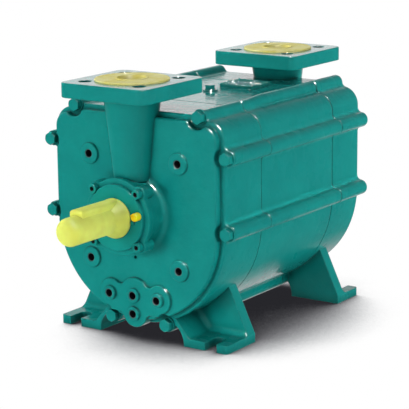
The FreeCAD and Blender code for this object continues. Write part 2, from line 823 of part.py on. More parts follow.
def cover_disc(extra):
    """Flange of a bearing cover: a disc with four screw lobes, spigot and softened rims."""
    step = rounded_at(bar(0, shaft_height, bearing_radius, cover_nose_y, housing_end_y), cover_nose_y, boss_round)
    disc = bar(0, shaft_height, housing_radius + cover_overhang, 0, 1)
    lobes = [bar(x, z, lobe_radius, 0, 1) for x, z in lobe_places()]
    outline = largest_face_at(disc.fuse(lobes), 0)
    outline = outline.makeOffset2D(scallop_blend).makeOffset2D(-scallop_blend).Faces[0]
    flange = rounded_at(prism(outline, cover_front_y, housing_end_y), cover_front_y, boss_round)
    spigot = bar(0, shaft_height, bearing_radius - slip, housing_end_y, bearing_front_y)
    hollow = bar(0, shaft_height, bearing_radius - spigot_wall, housing_end_y, bearing_front_y + 1)
    hole = cover_screw_radius + cover_screw_clearance
    holes = [bar(x, z, hole, cover_nose_y - 1, bearing_front_y) for x, z in lobe_places()]
    heads = [bar(x, z, cover_head_radius + side_gap, cover_nose_y - 1, cover_front_y) for x, z in lobe_places()]
    return flange.fuse([step, spigot] + extra).cut([hollow] + holes + heads)


def nipple_place():
    """Centre (x, z) and radius of the grease nipple."""
    return bearing_radius - nipple_inset, shaft_height + nipple_rise, nipple_radius


def relief_place():
    """Centre (x, z) and radius of the relief plug, just outside the sleeve's collar."""
    return sleeve_collar_radius + relief_gap + relief_radius, shaft_height - relief_drop, relief_radius


def front_bearing_cover():
    """Drive-end bearing cover with a stepped bore for the lip seal."""
    bore = bar(0, shaft_height, lip_radius + 2 * side_gap, cover_nose_y - 1, housing_end_y + 1)
    seal_start = cover_nose_y + lip_seal_setback
    seal_bore = bar(0, shaft_height, lip_radius + lip_seal_height, seal_start, housing_end_y + 1)
    seats = [bar(x, z, radius / 2.0, cover_nose_y - 1, cover_nose_y + nipple_stem_length)
             for x, z, radius in (nipple_place(), relief_place())]
    return cover_disc([]).cut([bore, seal_bore] + seats).removeSplitter()


def rear_bearing_cover():
    """Closed cover at the non-drive end with room for the lock nut."""
    depth = end_cap_depth + end_cap_wall
    dome = bar(0, shaft_height, end_cap_bore + end_cap_wall, housing_end_y - depth, housing_end_y)
    dome = rounded_at(dome, housing_end_y - depth, rim_round)
    room = bar(0, shaft_height, end_cap_bore, housing_end_y - end_cap_depth, bearing_front_y + 1)
    return flipped(cover_disc([dome]).cut(room).removeSplitter())


def cover_screw(x, z):
    """Socket-head screw in one lobe of the drive-end bearing cover."""
    head_y = cover_front_y - cover_head_height
    head = bar(x, z, cover_head_radius, head_y, cover_front_y)
    shank = bar(x, z, cover_screw_radius, cover_front_y, cover_front_y + cover_screw_length)
    socket = hexagon(x, z, cover_socket_flats, head_y - 1, head_y + cover_head_height / 2.0)
    return rounded_at(head, head_y, cover_head_radius / 8.0).fuse(shank).cut(socket)


def lip_seal():
    """Rubber lip seal in the drive-end bearing cover."""
    front = cover_nose_y + lip_seal_setback
    back = housing_end_y - side_gap
    lip = lip_radius + running_gap
    outer = lip_radius + lip_seal_height - slip
    neck = lip_radius + lip_seal_height / 4.0
    middle = (front + back) / 2.0
    return turned([(front, outer), (front, neck), (middle, lip), (middle + side_gap, lip),
                   (back, lip_radius + lip_seal_height / 2.0), (back, outer)])


def seal_seat():
    """Stationary ring of the drive-end mechanical seal."""
    start = bearing_back_y + partition_thickness
    end = start + seal_seat_thickness
    inner = seal_radius + side_gap
    outer = seal_chamber_radius - slip
    return turned([(start, inner), (start, outer), (end - seal_nose, outer),
                   (end - seal_nose, seal_head_radius), (end, seal_head_radius), (end, inner)])


def seal_head():
    """Rotating seal head: face ring, folded rubber bellows and drive collar."""
    start = bearing_back_y + partition_thickness + seal_seat_thickness + seal_face_gap
    inner = seal_radius + slip
    outer = seal_head_radius - seal_nose
    bellows = start + 3.0 * seal_nose
    end = start + seal_head_length
    fold = (end - seal_collar_length - bellows) / seal_folds
    profile = [(start, inner), (start, outer), (bellows, outer)]
    for index in range(seal_folds):
        y = bellows + fold * index
        profile += [(y + fold * 0.2, outer - seal_nose), (y + fold * 0.8, seal_head_radius)]
    profile += [(end - seal_collar_length, outer), (end, outer), (end, inner)]
    return turned(profile)


def lock_nut():
    """Slotted nut that holds the rear bearing on the shaft."""
    start = -bearing_front_y - end_face_shift
    end = start + lock_nut_width
    solid = turned([(start, bearing_seat_radius + slip), (start, lock_nut_radius),
                    (end, lock_nut_radius - 1.0), (end, bearing_seat_radius + slip)])
    slots = []
    for index in range(4):
        slot = block(-lock_nut_slot, lock_nut_slot, start - 1, end + 1,
                     shaft_height + lock_nut_radius - lock_nut_slot, shaft_height + 2 * lock_nut_radius)
        slot.rotate(point(0, 0, shaft_height), Y_AXIS, 90.0 * index)
        slots.append(slot)
    return solid.cut(slots)


def tie_bolt(x, z):
    """Hexagon-head tie bolt from the front rim into the rear cover."""
    seat = front_rim_y - tie_washer_thickness
    head = hexagon(x, z, tie_head_flats, seat - tie_head_height, seat)
    corner = tie_head_flats / math.sqrt(3.0) + slip
    top = seat - tie_head_height
    crown = turned([(top, 0), (top, corner - tie_head_chamfer), (top + tie_head_chamfer, corner),
                    (seat, corner), (seat, 0)], x, z)
    shank_end = rear_cover_start + tie_bolt_thread_depth
    return head.common(crown).fuse(bar(x, z, tie_bolt_radius, seat, shank_end))


def tie_washer(x, z):
    top = front_rim_y - tie_washer_thickness
    disc = rounded_at(bar(x, z, tie_washer_radius, top, front_rim_y), top, tie_washer_thickness / 4.0)
    return disc.cut(bar(x, z, tie_bolt_radius + slip, top - 1, front_rim_y + 1))


def flange_cap(face_y):
    """Push-in transport cap of a nozzle: thin disc, dished middle and a plug skirt."""
    low = flange_top
    top = low + cap_thickness
    plug = nozzle_bore_radius - cap_gap
    ring_outer = cap_dish_radius + cap_ring_width
    ring_top = top + cap_ring_height
    dish = low - cap_dish_depth
    return spun([
        (dish, 0), (dish, cap_dish_radius - cap_dish_depth), (top, cap_dish_radius),
        (ring_top, cap_dish_radius + cap_edge), (ring_top, ring_outer - cap_edge), (top, ring_outer),
        (top, cap_radius - cap_edge), (top - cap_edge, cap_radius), (low, cap_radius), (low, plug),
        (low - cap_plug_depth, plug - cap_edge), (low - cap_plug_depth, plug - cap_skin),
        (dish - cap_skin, plug - cap_skin), (dish - cap_skin, 0),
    ], face_y)


def sleeve_form(inset, rim_end):
    """Outer form of the transport sleeve, or with an inset the room inside it, up to rim_end."""
    tip = shaft_end_y - sleeve_tip_gap - sleeve_skin + inset
    rim = cover_nose_y - loose_gap
    flare_end = rim - sleeve_collar_rim
    flare_start = flare_end - sleeve_collar_length
    tube = drive_radius + sleeve_gap + sleeve_skin - inset
    collar = sleeve_collar_radius - inset
    barrel = rounded_at(bar(0, shaft_height, tube, tip, flare_start + 1), tip, sleeve_tip_round - inset)
    bell = turned([(flare_start, 0), (flare_start, tube), (flare_end, collar), (rim_end, collar), (rim_end, 0)])
    half = sleeve_channel["width"] / 2.0 - inset
    top = tube + sleeve_channel["height"]
    corner = sleeve_channel["round"] - inset
    reach = math.hypot(half - corner, top - corner) + corner
    start = shaft_end_y + drive_key_setback - sleeve_channel["lead"] + inset
    end = flare_start + sleeve_collar_length * (reach - tube) / (collar - tube)
    channel = block(-half, half, start, end, shaft_height, shaft_height + top)
    crest = [e for e in channel.Edges
             if e.BoundBox.ZMin > shaft_height + 1 and e.BoundBox.YMin < end - 1]
    return barrel.fuse([bell, channel.makeFillet(corner, crest)])


def shaft_sleeve():
    """Soft transport sleeve over the drive end: closed tip, key channel and flared collar."""
    rim = cover_nose_y - loose_gap
    return sleeve_form(0.0, rim).cut(sleeve_form(sleeve_skin, rim + 1)).removeSplitter()


def grease_nipple():
    """Small lubricating nipple on the bearing cover."""
    x, z, radius = nipple_place()
    base = cover_nose_y
    tip = base - nipple_length
    stem = radius / 2.0
    head = radius - 2.0 * roller_gap
    root = base + nipple_stem_length
    return turned([
        (root, 0), (root, stem - slip), (base, stem - slip), (base, radius), (base - 3.0, radius),
        (base - 3.5, stem), (base - 5.0, stem), (base - 5.8, head), (tip + 1.0, head), (tip, stem), (tip, 0),
    ], x, z)


def nipple_cap():
    """Snap-on cap of the grease nipple with its short strap."""
    x, z, radius = nipple_place()
    open_y = cover_nose_y - loose_gap
    end_y = open_y - nipple_cap_length
    outer = radius + loose_gap + nipple_cap_wall
    body = rounded_at(bar(x, z, outer, end_y, open_y), end_y, nipple_cap_wall)
    half = nipple_strap / 2.0
    strap_end = sleeve_collar_radius + nipple_strap_gap + half
    strap_top = open_y - side_gap
    strap_front = strap_top - nipple_cap_wall
    strap_z = z - loose_gap
    strap = block(strap_end, x, strap_front, strap_top, strap_z - half, strap_z + half)
    tab = bar(strap_end, strap_z, half, strap_front, strap_top)
    room = bar(x, z, radius + loose_gap, end_y + nipple_cap_wall, open_y + 1)
    return body.fuse([strap, tab]).cut(room).removeSplitter()


def relief_plug():
    """Round-headed grease relief plug beside the nipple."""
    x, z, radius = relief_place()
    base = cover_nose_y
    tip = base - relief_length
    stem = radius / 2.0 - slip
    root = base + nipple_stem_length
    return turned([
        (root, 0), (root, stem), (base, stem), (base, radius), (tip + radius / 2.0, radius),
        (tip + radius / 8.0, radius * 0.7), (tip, radius * 0.4), (tip, 0),
    ], x, z)


def deck_plug():
    """Hexagon plug on its boss on the deck."""
    plug_y = body_start + plug_setback
    base = deck_height + plug_boss_height
    corner = plug_flats / math.sqrt(3.0)
    corners = []
    for turn in range(7):
        angle = math.radians(60 * turn)
        corners.append(point(plug_x + corner * math.cos(angle), plug_y + corner * math.sin(angle), base + 1.0))
    head = Part.Face(Part.makePolygon(corners)).extrude(Z_AXIS * plug_head_height)
    collar = Part.makeCylinder(corner, 1.0, point(plug_x, plug_y, base))
    thread = Part.makeCylinder(plug_thread_radius, plug_thread_length,
                               point(plug_x, plug_y, base - plug_thread_length))
    return head.fuse([collar, thread]).removeSplitter()


def nodes():
    """Every piece by its name; groups of equal pieces share one name."""
    front_bearing, rear_bearing = bearing_starts()
    screws = [cover_screw(x, z) for x, z in lobe_places()]
    front_plate_y = front_cover_end - port_plate_thickness
    return {
        "front_cover": front_cover(),
        "centre_body": centre_body(),
        "rear_cover": rear_cover(),
        "front_gasket": gasket(low_ridge_radius, front_cover_end, **front_joint),
        "rear_gasket": gasket(lug_radius, body_end, **rear_joint),
        "suction_port_plate": port_plate(front_plate_y, *suction_angles),
        "discharge_port_plate": port_plate(rear_cover_start, *discharge_angles),
        "shaft": shaft(),
        "drive_key": key_slot(drive_key, *drive_key_place()),
        "impeller": impeller(),
        "impeller_key": key_slot(impeller_key, *impeller_key_place()),
        "front_bearing_inner_ring": inner_ring(front_bearing),
        "front_bearing_outer_ring": outer_ring(front_bearing),
        "rear_bearing_inner_ring": inner_ring(rear_bearing),
        "rear_bearing_outer_ring": outer_ring(rear_bearing),
        "bearing_rollers": Part.makeCompound(rollers(front_bearing) + rollers(rear_bearing)),
        "bearing_cages": Part.makeCompound([cage(front_bearing), cage(rear_bearing)]),
        "front_bearing_cover": front_bearing_cover(),
        "rear_bearing_cover": rear_bearing_cover(),
        "bearing_cover_screws": Part.makeCompound(screws + [flipped(screw) for screw in screws]),
        "lip_seal": lip_seal(),
        "front_seal_seat": seal_seat(),
        "front_seal_head": seal_head(),
        "rear_seal_seat": flipped(seal_seat()),
        "rear_seal_head": flipped(seal_head()),
        "lock_nut": lock_nut(),
        "tie_bolts": Part.makeCompound([tie_bolt(x, z) for x, z in tie_bolt_places()]),
        "tie_bolt_washers": Part.makeCompound([tie_washer(x, z) for x, z in tie_bolt_places()]),
        "deck_plug": deck_plug(),
        "grease_nipple": grease_nipple(),
        "relief_plug": relief_plug(),
        "nipple_cap": nipple_cap(),
        "shaft_sleeve": shaft_sleeve(),
        "suction_cap": flange_cap(front_face_y),
        "discharge_cap": flange_cap(rear_face_y),
    }


os.makedirs("parts", exist_ok=True)
for name, shape in nodes().items():
    shape.exportStep("parts/" + name + ".step")
    solids = shape.Solids
    print(name, len(solids), "valid" if shape.isValid() else "INVALID", round(shape.Volume))
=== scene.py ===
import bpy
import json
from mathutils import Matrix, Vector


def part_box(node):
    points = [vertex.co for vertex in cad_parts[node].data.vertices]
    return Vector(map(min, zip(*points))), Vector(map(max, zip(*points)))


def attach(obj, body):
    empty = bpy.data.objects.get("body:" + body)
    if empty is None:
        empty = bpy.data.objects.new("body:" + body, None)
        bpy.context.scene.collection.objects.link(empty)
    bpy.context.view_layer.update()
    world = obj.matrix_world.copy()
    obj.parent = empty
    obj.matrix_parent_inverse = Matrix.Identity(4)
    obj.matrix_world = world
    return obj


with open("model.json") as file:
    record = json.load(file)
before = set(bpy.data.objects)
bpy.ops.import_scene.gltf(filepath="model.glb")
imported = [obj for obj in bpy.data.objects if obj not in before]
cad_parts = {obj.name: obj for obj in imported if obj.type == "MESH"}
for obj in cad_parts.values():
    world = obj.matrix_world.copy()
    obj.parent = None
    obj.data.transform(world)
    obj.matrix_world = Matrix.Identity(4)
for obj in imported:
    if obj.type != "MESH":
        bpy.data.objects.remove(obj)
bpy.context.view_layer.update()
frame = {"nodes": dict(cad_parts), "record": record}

import json
import math

import bmesh
import bpy
from mathutils import Matrix, Vector, noise as field

# Liquid ring vacuum pump in thick glossy enamel, with its yellow transport caps.
# Lengths are in metres, colours are linear.
MM = 0.001

# The photograph's view: a long lens from the front right, a little above the nozzles
CAMERA_PLACE = (1.35604, -1.98288, 0.69764)
CAMERA_TARGET = (0.0, -0.01559, 0.15826)
CAMERA_ROLL = math.radians(-0.587)
FOCAL_PIXELS = 1722.0
IMAGE_PIXELS = 409.0
SENSOR_WIDTH = 36.0

# Paint, the radius of its edges, and how far and how deeply painted shade darkens it in corners
ENAMEL = (0.006, 0.265, 0.232, 1.0)
ENAMEL_DEEP = (0.004, 0.215, 0.195, 1.0)
CASTING_EDGE = 2.2 * MM
FITTING_EDGE = 0.8 * MM
ROUGH_EDGE = 0.1 * MM
ENAMEL_PAINTED_SHADE_REACH = 24.0 * MM
ENAMEL_PAINTED_SHADE_TONE = 0.25

# Weight of the paint's clear coat, by how far the surface turns away and along rounded edges
COAT_BY_TURN = ((0.12, 0.2), (0.2, 0.12), (0.45, 0.03), (0.66, 0.03), (0.79, 1.0))
COAT_ON_EDGES = ((0.9, 0.4), (0.99, 0.0))

# Plastic of the caps and the sleeve, how deeply painted shade darkens it in corners, and how deep light
# enters it
CAP_YELLOW = (0.78, 0.68, 0.16, 1.0)
CAP_PALE = (0.86, 0.8, 0.34, 1.0)
SLEEVE_LIME = (0.86, 0.95, 0.17, 1.0)
SLEEVE_WARM = (0.78, 0.8, 0.13, 1.0)
NIPPLE_YELLOW = (0.95, 0.85, 0.02, 1.0)
NIPPLE_ORANGE = (0.9, 0.5, 0.01, 1.0)
PLASTIC_PAINTED_SHADE_REACH = 5.0 * MM
PLASTIC_PAINTED_SHADE_TONE = 0.4
PLASTIC_DEPTH = 8.0 * MM

# Metal, rubber, ceramic, and the bores' dark metal with painted shade
STEEL = (0.5, 0.5, 0.5, 1.0)
BRONZE = (0.55, 0.33, 0.13, 1.0)
IRON = (0.16, 0.16, 0.17, 1.0)
BRASS = (0.7, 0.48, 0.16, 1.0)
SEALANT = (0.004, 0.02, 0.018, 1.0)
RUBBER_BLACK = (0.012, 0.012, 0.012, 1.0)
CERAMIC = (0.7, 0.67, 0.6, 1.0)
CERAMIC_WARM = (0.6, 0.57, 0.5, 1.0)
DARK_METAL_AND_PAINTED_SHADE = (0.004, 0.003, 0.005, 1.0)
BORE_RIM = (0.05, 0.1, 0.1, 1.0)

# Threads in the ports of the drive-end face; the four face ports' places come from the record.
# The first rows of a thread's section are its paler rim.
PAD_PORTS = ((-39.7 * MM, 63.5 * MM), (39.7 * MM, 63.5 * MM), (0.0, 65.0 * MM), (0.0, 39.3 * MM))
PAD_RING_FRONT = -190.6 * MM
THREAD_PITCH = 1.5 * MM
THREAD_HEIGHT = 0.8 * MM
THREAD_TURNS = 12
THREAD_CHAMFER = 0.6 * MM
THREAD_WALL = 0.1 * MM
THREAD_SIDES = 40
RIM_ROWS = 2

# Hexagon sockets of the bearing-cover screws
SCREW_HEAD_RADIUS = 6.5 * MM
SOCKET_SIDES = 6
SOCKET_FLATS = 6.0 * MM
SOCKET_DEPTH = 3.8 * MM
SOCKET_SKIN = 0.2 * MM

# How far a lining stands off its wall, and how far it stays back from the mouth of its hole
FIT_GAP = 0.05 * MM
MOUTH_GAP = 0.2 * MM

# Rough as-cast pad on the deck: its corners, its top, and the paint's wrinkles over it, whose
# octaves are each finer and lower than the one before
PAD_LOW = (-16.0 * MM, 44.5 * MM)
PAD_HIGH = (40.0 * MM, 99.5 * MM)
PAD_TOP = 322.0 * MM
PAD_SKIN = 0.35 * MM
PAD_STEPS = 96
WRINKLE_HEIGHT = 1.5 * MM
WRINKLES_PER_METRE = (320.0, 190.0)
WRINKLE_FALL = 0.6
WRINKLE_FINER = 2.0
WRINKLE_OCTAVES = 4

# Sky seen by plain light, from the horizon up
HORIZON = (0.7, 0.74, 0.8, 1.0)
LOW_SKY = (0.52, 0.55, 0.6, 1.0)
CEILING = (0.42, 0.45, 0.5, 1.0)
SKY_STRENGTH = 0.65

# Floor, and the tones of the shadow painted on it by how much sky is open above it. That sky leans one
# way, so the painted shadow lies on the other side.
FLOOR_REACH = 12.0
FLOOR_TONE = 0.8
FLOOR_IN_GLOSS = 0.6
SHADOW_REACH = 0.22
SKY_LEAN = (-0.3, 0.1, 0.0)
SHADOW_TONES = ((0.25, (0.02, 0.02, 0.024, 1.0)), (0.4, (0.15, 0.15, 0.16, 1.0)),
                (0.55, (0.5, 0.51, 0.52, 1.0)), (0.7, 1.0))


def grey(value):
    return (value, value, value, 1.0)


def scaled(colour, factor):
    """Colour times a factor, with its alpha kept."""
    return tuple(factor * value for value in colour[:3]) + (1.0,)


def new_material(name):
    """Empty node material: its tree and its Principled shader."""
    material = bpy.data.materials.new(name)
    material.use_nodes = True
    tree = material.node_tree
    tree.nodes.clear()
    output = tree.nodes.new("ShaderNodeOutputMaterial")
    shader = tree.nodes.new("ShaderNodeBsdfPrincipled")
    tree.links.new(shader.outputs["BSDF"], output.inputs["Surface"])
    return material, tree, shader


def noise(tree, scale, detail=2.0, roughness=0.5):
    """Noise texture over the object's own coordinates."""
    place = tree.nodes.new("ShaderNodeTexCoord")
    texture = tree.nodes.new("ShaderNodeTexNoise")
    texture.inputs["Scale"].default_value = scale
    texture.inputs["Detail"].default_value = detail
    texture.inputs["Roughness"].default_value = roughness
    tree.links.new(place.outputs["Object"], texture.inputs["Vector"])
    return texture.outputs["Fac"]


def ramp(tree, source, *stops):
    """Colour ramp; each stop is (position, colour), and a plain number is a grey."""
    node = tree.nodes.new("ShaderNodeValToRGB")
    elements = node.color_ramp.elements
    while len(elements) < len(stops):
        elements.new(0.5)
    for element, (position, colour) in zip(elements, stops):
        element.position = position
        element.color = grey(colour) if isinstance(colour, float) else colour
    tree.links.new(source, node.inputs["Fac"])
    return node.outputs["Color"]


def bump(tree, height, distance, strength, normal=None):
    """Normal that a height texture bends, on top of another normal where one is given."""
    node = tree.nodes.new("ShaderNodeBump")
    node.inputs["Strength"].default_value = strength
    node.inputs["Distance"].default_value = distance
    tree.links.new(height, node.inputs["Height"])
    if normal is not None:
        tree.links.new(normal, node.inputs["Normal"])
    return node.outputs["Normal"]


def soft_edges(tree, radius):
    """Normal that rounds the edges of paint and castings in the shading."""
    node = tree.nodes.new("ShaderNodeBevel")
    node.samples = 6
    node.inputs["Radius"].default_value = radius
    return node.outputs["Normal"]


def edge_mask(tree, rounded, *stops):
    """Ramp along edges, where the rounded normal leaves the true one."""
    surface = tree.nodes.new("ShaderNodeNewGeometry")
    match = tree.nodes.new("ShaderNodeVectorMath")
    match.operation = "DOT_PRODUCT"
    tree.links.new(surface.outputs["Normal"], match.inputs[0])
    tree.links.new(rounded, match.inputs[1])
    return ramp(tree, match.outputs["Value"], *stops)


def grazing(tree, *stops):
    """Ramp from a surface that faces the eye to one that turns away, for gloss."""
    turn = tree.nodes.new("ShaderNodeLayerWeight")
    turn.inputs["Blend"].default_value = 0.5
    return ramp(tree, turn.outputs["Facing"], *stops)


def painted_corner_shade(tree, colour, reach, deepest):
    """Colour darkened by painted shade where surfaces meet, by how closed in each place is."""
    contact = tree.nodes.new("ShaderNodeAmbientOcclusion")
    contact.samples = 8
    contact.inputs["Distance"].default_value = reach
    cover = ramp(tree, contact.outputs["AO"], (0.3, deepest), (0.8, 1.0))
    mix = tree.nodes.new("ShaderNodeMixRGB")
    mix.blend_type = "MULTIPLY"
    mix.inputs["Fac"].default_value = 1.0
    tree.links.new(colour, mix.inputs["Color1"])
    tree.links.new(cover, mix.inputs["Color2"])
    return mix.outputs["Color"]


def larger(tree, first, second):
    """Value that is the larger of two."""
    node = tree.nodes.new("ShaderNodeMath")
    node.operation = "MAXIMUM"
    tree.links.new(first, node.inputs[0])
    tree.links.new(second, node.inputs[1])
    return node.outputs["Value"]


def enamel(name, edge):
    """Thick glossy enamel on rough casting: slow colour drift, orange peel and soft edges."""
    material, tree, shader = new_material(name)
    drift = noise(tree, 14.0, detail=6.0, roughness=0.7)
    tone = ramp(tree, drift, (0.3, ENAMEL_DEEP), (0.7, ENAMEL))
    # Painted shade: the paint's colour is darkened where surfaces meet and close in
    paint = painted_corner_shade(tree, tone, ENAMEL_PAINTED_SHADE_REACH, ENAMEL_PAINTED_SHADE_TONE)
    tree.links.new(paint, shader.inputs["Base Color"])

    haze = ramp(tree, noise(tree, 30.0, detail=3.0), (0.3, 0.24), (0.75, 0.34))
    tree.links.new(haze, shader.inputs["Roughness"])
    shader.inputs["Specular IOR Level"].default_value = 0.02

    rounded = soft_edges(tree, edge)
    gleam = grazing(tree, *COAT_BY_TURN)
    pooled = edge_mask(tree, rounded, *COAT_ON_EDGES)
    tree.links.new(larger(tree, gleam, pooled), shader.inputs["Coat Weight"])
    shader.inputs["Coat Roughness"].default_value = 0.1
    shader.inputs["Coat IOR"].default_value = 1.5

    grit = noise(tree, 60.0, detail=3.0, roughness=0.55)
    casting = bump(tree, grit, distance=1.2 * MM, strength=0.6, normal=rounded)
    peel = bump(tree, noise(tree, 300.0), distance=0.3 * MM, strength=0.6, normal=casting)
    tree.links.new(peel, shader.inputs["Normal"])
    tree.links.new(peel, shader.inputs["Coat Normal"])
    return material


def metal(name, tone, rough):
    """Machined or cast metal with fine grain."""
    material, tree, shader = new_material(name)
    grain = noise(tree, 300.0, detail=4.0)
    colour = ramp(tree, grain, (0.3, scaled(tone, 0.7)), (0.7, tone))
    haze = ramp(tree, grain, (0.3, rough), (0.8, rough + 0.15))
    tree.links.new(colour, shader.inputs["Base Color"])
    tree.links.new(haze, shader.inputs["Roughness"])
    shader.inputs["Metallic"].default_value = 1.0
    tree.links.new(bump(tree, grain, distance=0.05 * MM, strength=0.4), shader.inputs["Normal"])
    return material


def rubber(name, tone, rough=0.5, shine=0.5):
    """Rubber, sealant, or the dark metal of a bore with painted shade, with a fine grain."""
    material, tree, shader = new_material(name)
    grain = noise(tree, 500.0, detail=3.0)
    colour = ramp(tree, grain, (0.35, tone), (0.75, scaled(tone, 1.5)))
    tree.links.new(colour, shader.inputs["Base Color"])
    shader.inputs["Roughness"].default_value = rough
    shader.inputs["Specular IOR Level"].default_value = shine
    tree.links.new(bump(tree, grain, distance=0.1 * MM, strength=0.5), shader.inputs["Normal"])
    return material


def moulded(name, tone, second, rough, edge, scatter=0.0, scale=40.0, shine=0.06):
    """Moulded plastic or ceramic whose colour drifts between two tones."""
    material, tree, shader = new_material(name)
    drift = ramp(tree, noise(tree, scale, detail=3.0, roughness=0.6), (0.35, second), (0.6, tone))
    # Painted shade: the plastic's colour is darkened where surfaces meet and close in
    plastic = painted_corner_shade(tree, drift, PLASTIC_PAINTED_SHADE_REACH, PLASTIC_PAINTED_SHADE_TONE)
    tree.links.new(plastic, shader.inputs["Base Color"])
    shader.inputs["Roughness"].default_value = rough
    shader.inputs["Subsurface Weight"].default_value = scatter
    shader.inputs["Subsurface Radius"].default_value = (1.0, 0.9, 0.4)
    shader.inputs["Subsurface Scale"].default_value = PLASTIC_DEPTH
    shader.inputs["Specular IOR Level"].default_value = shine
    rounded = soft_edges(tree, edge)
    surface = bump(tree, noise(tree, 160.0), distance=0.4 * MM, strength=0.3, normal=rounded)
    tree.links.new(surface, shader.inputs["Normal"])
    return material


casting_enamel = enamel("casting_enamel", CASTING_EDGE)
rough_enamel = enamel("rough_enamel", ROUGH_EDGE)
dark_metal_and_painted_shade = rubber("dark_metal_and_painted_shade", DARK_METAL_AND_PAINTED_SHADE, rough=0.9, shine=0.1)
bore_rim = rubber("bore_rim", BORE_RIM, rough=0.6, shine=0.05)

# Material of each slot that the record names; the large castings have wider paint edges
CASTINGS = ("front_cover", "centre_body", "rear_cover")
MATERIAL_OF = {
    "green_enamel": enamel("fitting_enamel", FITTING_EDGE),
    "painted_joint": casting_enamel,
    "dark_sealant": rubber("joint_sealant", SEALANT, rough=0.35),
    "machined_steel": metal("machined_steel", STEEL, rough=0.25),
    "cast_bronze": metal("cast_bronze", BRONZE, rough=0.4),
    "grey_iron": metal("grey_iron", IRON, rough=0.5),
    "cage_brass": metal("turned_brass", BRASS, rough=0.25),
    "black_rubber": rubber("black_rubber", RUBBER_BLACK),
    "seal_ceramic": moulded("seal_ceramic", CERAMIC, CERAMIC_WARM, rough=0.3, edge=0.3 * MM),
    "yellow_cap": moulded("nipple_cap_plastic", NIPPLE_YELLOW, NIPPLE_ORANGE, rough=0.35,
                          edge=0.5 * MM, scatter=0.3, scale=150.0),
    "lime_sleeve": moulded("sleeve_plastic", SLEEVE_LIME, SLEEVE_WARM, rough=0.5,
                           edge=1.0 * MM, scatter=0.5, scale=25.0, shine=0.02),
    "flange_cap_yellow": moulded("flange_cap_plastic", CAP_PALE, CAP_YELLOW, rough=0.4,
                                 edge=0.5 * MM, shine=0.01),
}


def dress_nodes():
    """Gives every CAD node its material."""
    slot_of = {row["node"]: row["material_slot"] for row in frame["record"]["subparts"]}
    for name, node in frame["nodes"].items():
        material = casting_enamel if name in CASTINGS else MATERIAL_OF[slot_of[name]]
        node.data.materials.clear()
        node.data.materials.append(material)


def add_piece(name, bm, materials):
    """Mesh object from a bmesh; it moves with the casing."""
    bmesh.ops.recalc_face_normals(bm, faces=bm.faces)
    mesh = bpy.data.meshes.new(name)
    bm.to_mesh(mesh)
    bm.free()
    for material in materials:
        mesh.materials.append(material)
    piece = bpy.data.objects.new(name, mesh)
    bpy.context.scene.collection.objects.link(piece)
    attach(piece, "casing")


def add_ring(bm, centre, radius, y, sides):
    """Ring of vertices round a line along Y; the centre is (x, z)."""
    x, z = centre
    turns = [2.0 * math.pi * step / sides for step in range(sides)]
    places = [(x + radius * math.cos(turn), y, z + radius * math.sin(turn)) for turn in turns]
    return [bm.verts.new(place) for place in places]


def join_rings(bm, ring, following):
    """Faces between two rings with the same number of vertices."""
    faces = []
    for step in range(len(ring)):
        after = (step + 1) % len(ring)
        faces.append(bm.faces.new((ring[step], ring[after], following[after], following[step])))
    return faces


def port_places():
    """Centre (x, z), front and radius of the eight ports."""
    mount = next(row for row in frame["record"]["mounts"] if row["name"] == "face_ports")
    x, front, z = mount["pos_m"]
    half_x = mount["dims"]["spacing_x_mm"] * MM / 2.0
    half_z = mount["dims"]["spacing_y_mm"] * MM / 2.0
    radius = mount["dims"]["hole_r_mm"] * MM
    face = [((x + a * half_x, z + b * half_z), front, radius) for a in (-1, 1) for b in (-1, 1)]
    return face + [(centre, PAD_RING_FRONT, radius) for centre in PAD_PORTS]


def thread_profile(front, radius):
    """Closed section of one thread as (radius, y) points: its chamfer, then its turns."""
    outer = radius - FIT_GAP
    root = outer - THREAD_WALL
    crest = root - THREAD_HEIGHT
    start = front + MOUTH_GAP
    profile = [(outer, start), (root, start), (crest, start + THREAD_CHAMFER)]
    for turn in range(THREAD_TURNS):
        y = start + THREAD_CHAMFER + turn * THREAD_PITCH
        profile += [(root, y + THREAD_PITCH / 2.0), (crest, y + THREAD_PITCH)]
    profile.append((outer, profile[-1][1]))
    return profile


def make_port_threads():
    """Thread in each port, dark as bare metal and as painted shade deep in the hole, with a paler
    chamfer.
    """
    bm = bmesh.new()
    for centre, front, radius in port_places():
        profile = thread_profile(front, radius)
        rings = [add_ring(bm, centre, reach, y, THREAD_SIDES) for reach, y in profile]
        for row, ring in enumerate(rings):
            for face in join_rings(bm, ring, rings[(row + 1) % len(rings)]):
                face.material_index = 1 if row < RIM_ROWS else 0
    add_piece("port_threads", bm, (dark_metal_and_painted_shade, bore_rim))


def add_socket_lining(bm, centre, front, way):
    """Closed thin cup in one hexagon socket; way is the direction into the screw along Y."""
    circle = (SOCKET_FLATS / 2.0 - FIT_GAP) / math.cos(math.pi / SOCKET_SIDES)
    bore = circle - SOCKET_SKIN
    mouth = front + way * MOUTH_GAP
    floor = front + way * SOCKET_DEPTH
    profile = ((circle, floor), (circle, mouth), (bore, mouth), (bore, floor - way * SOCKET_SKIN))
    rings = [add_ring(bm, centre, radius, y, SOCKET_SIDES) for radius, y in profile]
    for ring, following in zip(rings, rings[1:]):
        join_rings(bm, ring, following)
    bm.faces.new(rings[0])
    bm.faces.new(rings[-1])


def make_screw_sockets():
    """Lining of the hexagon sockets at both ends, dark as their metal and as painted shade inside the
    socket.
    """
    low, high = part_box("bearing_cover_screws")
    reach = high.x - SCREW_HEAD_RADIUS
    middle = (low.z + high.z) / 2.0
    places = [(a * reach, middle + b * reach) for a in (-1, 1) for b in (-1, 1)]
    bm = bmesh.new()
    for front, way in ((low.y, 1), (high.y, -1)):
        for centre in places:
            add_socket_lining(bm, centre, front, way)
    add_piece("screw_sockets", bm, (dark_metal_and_painted_shade,))


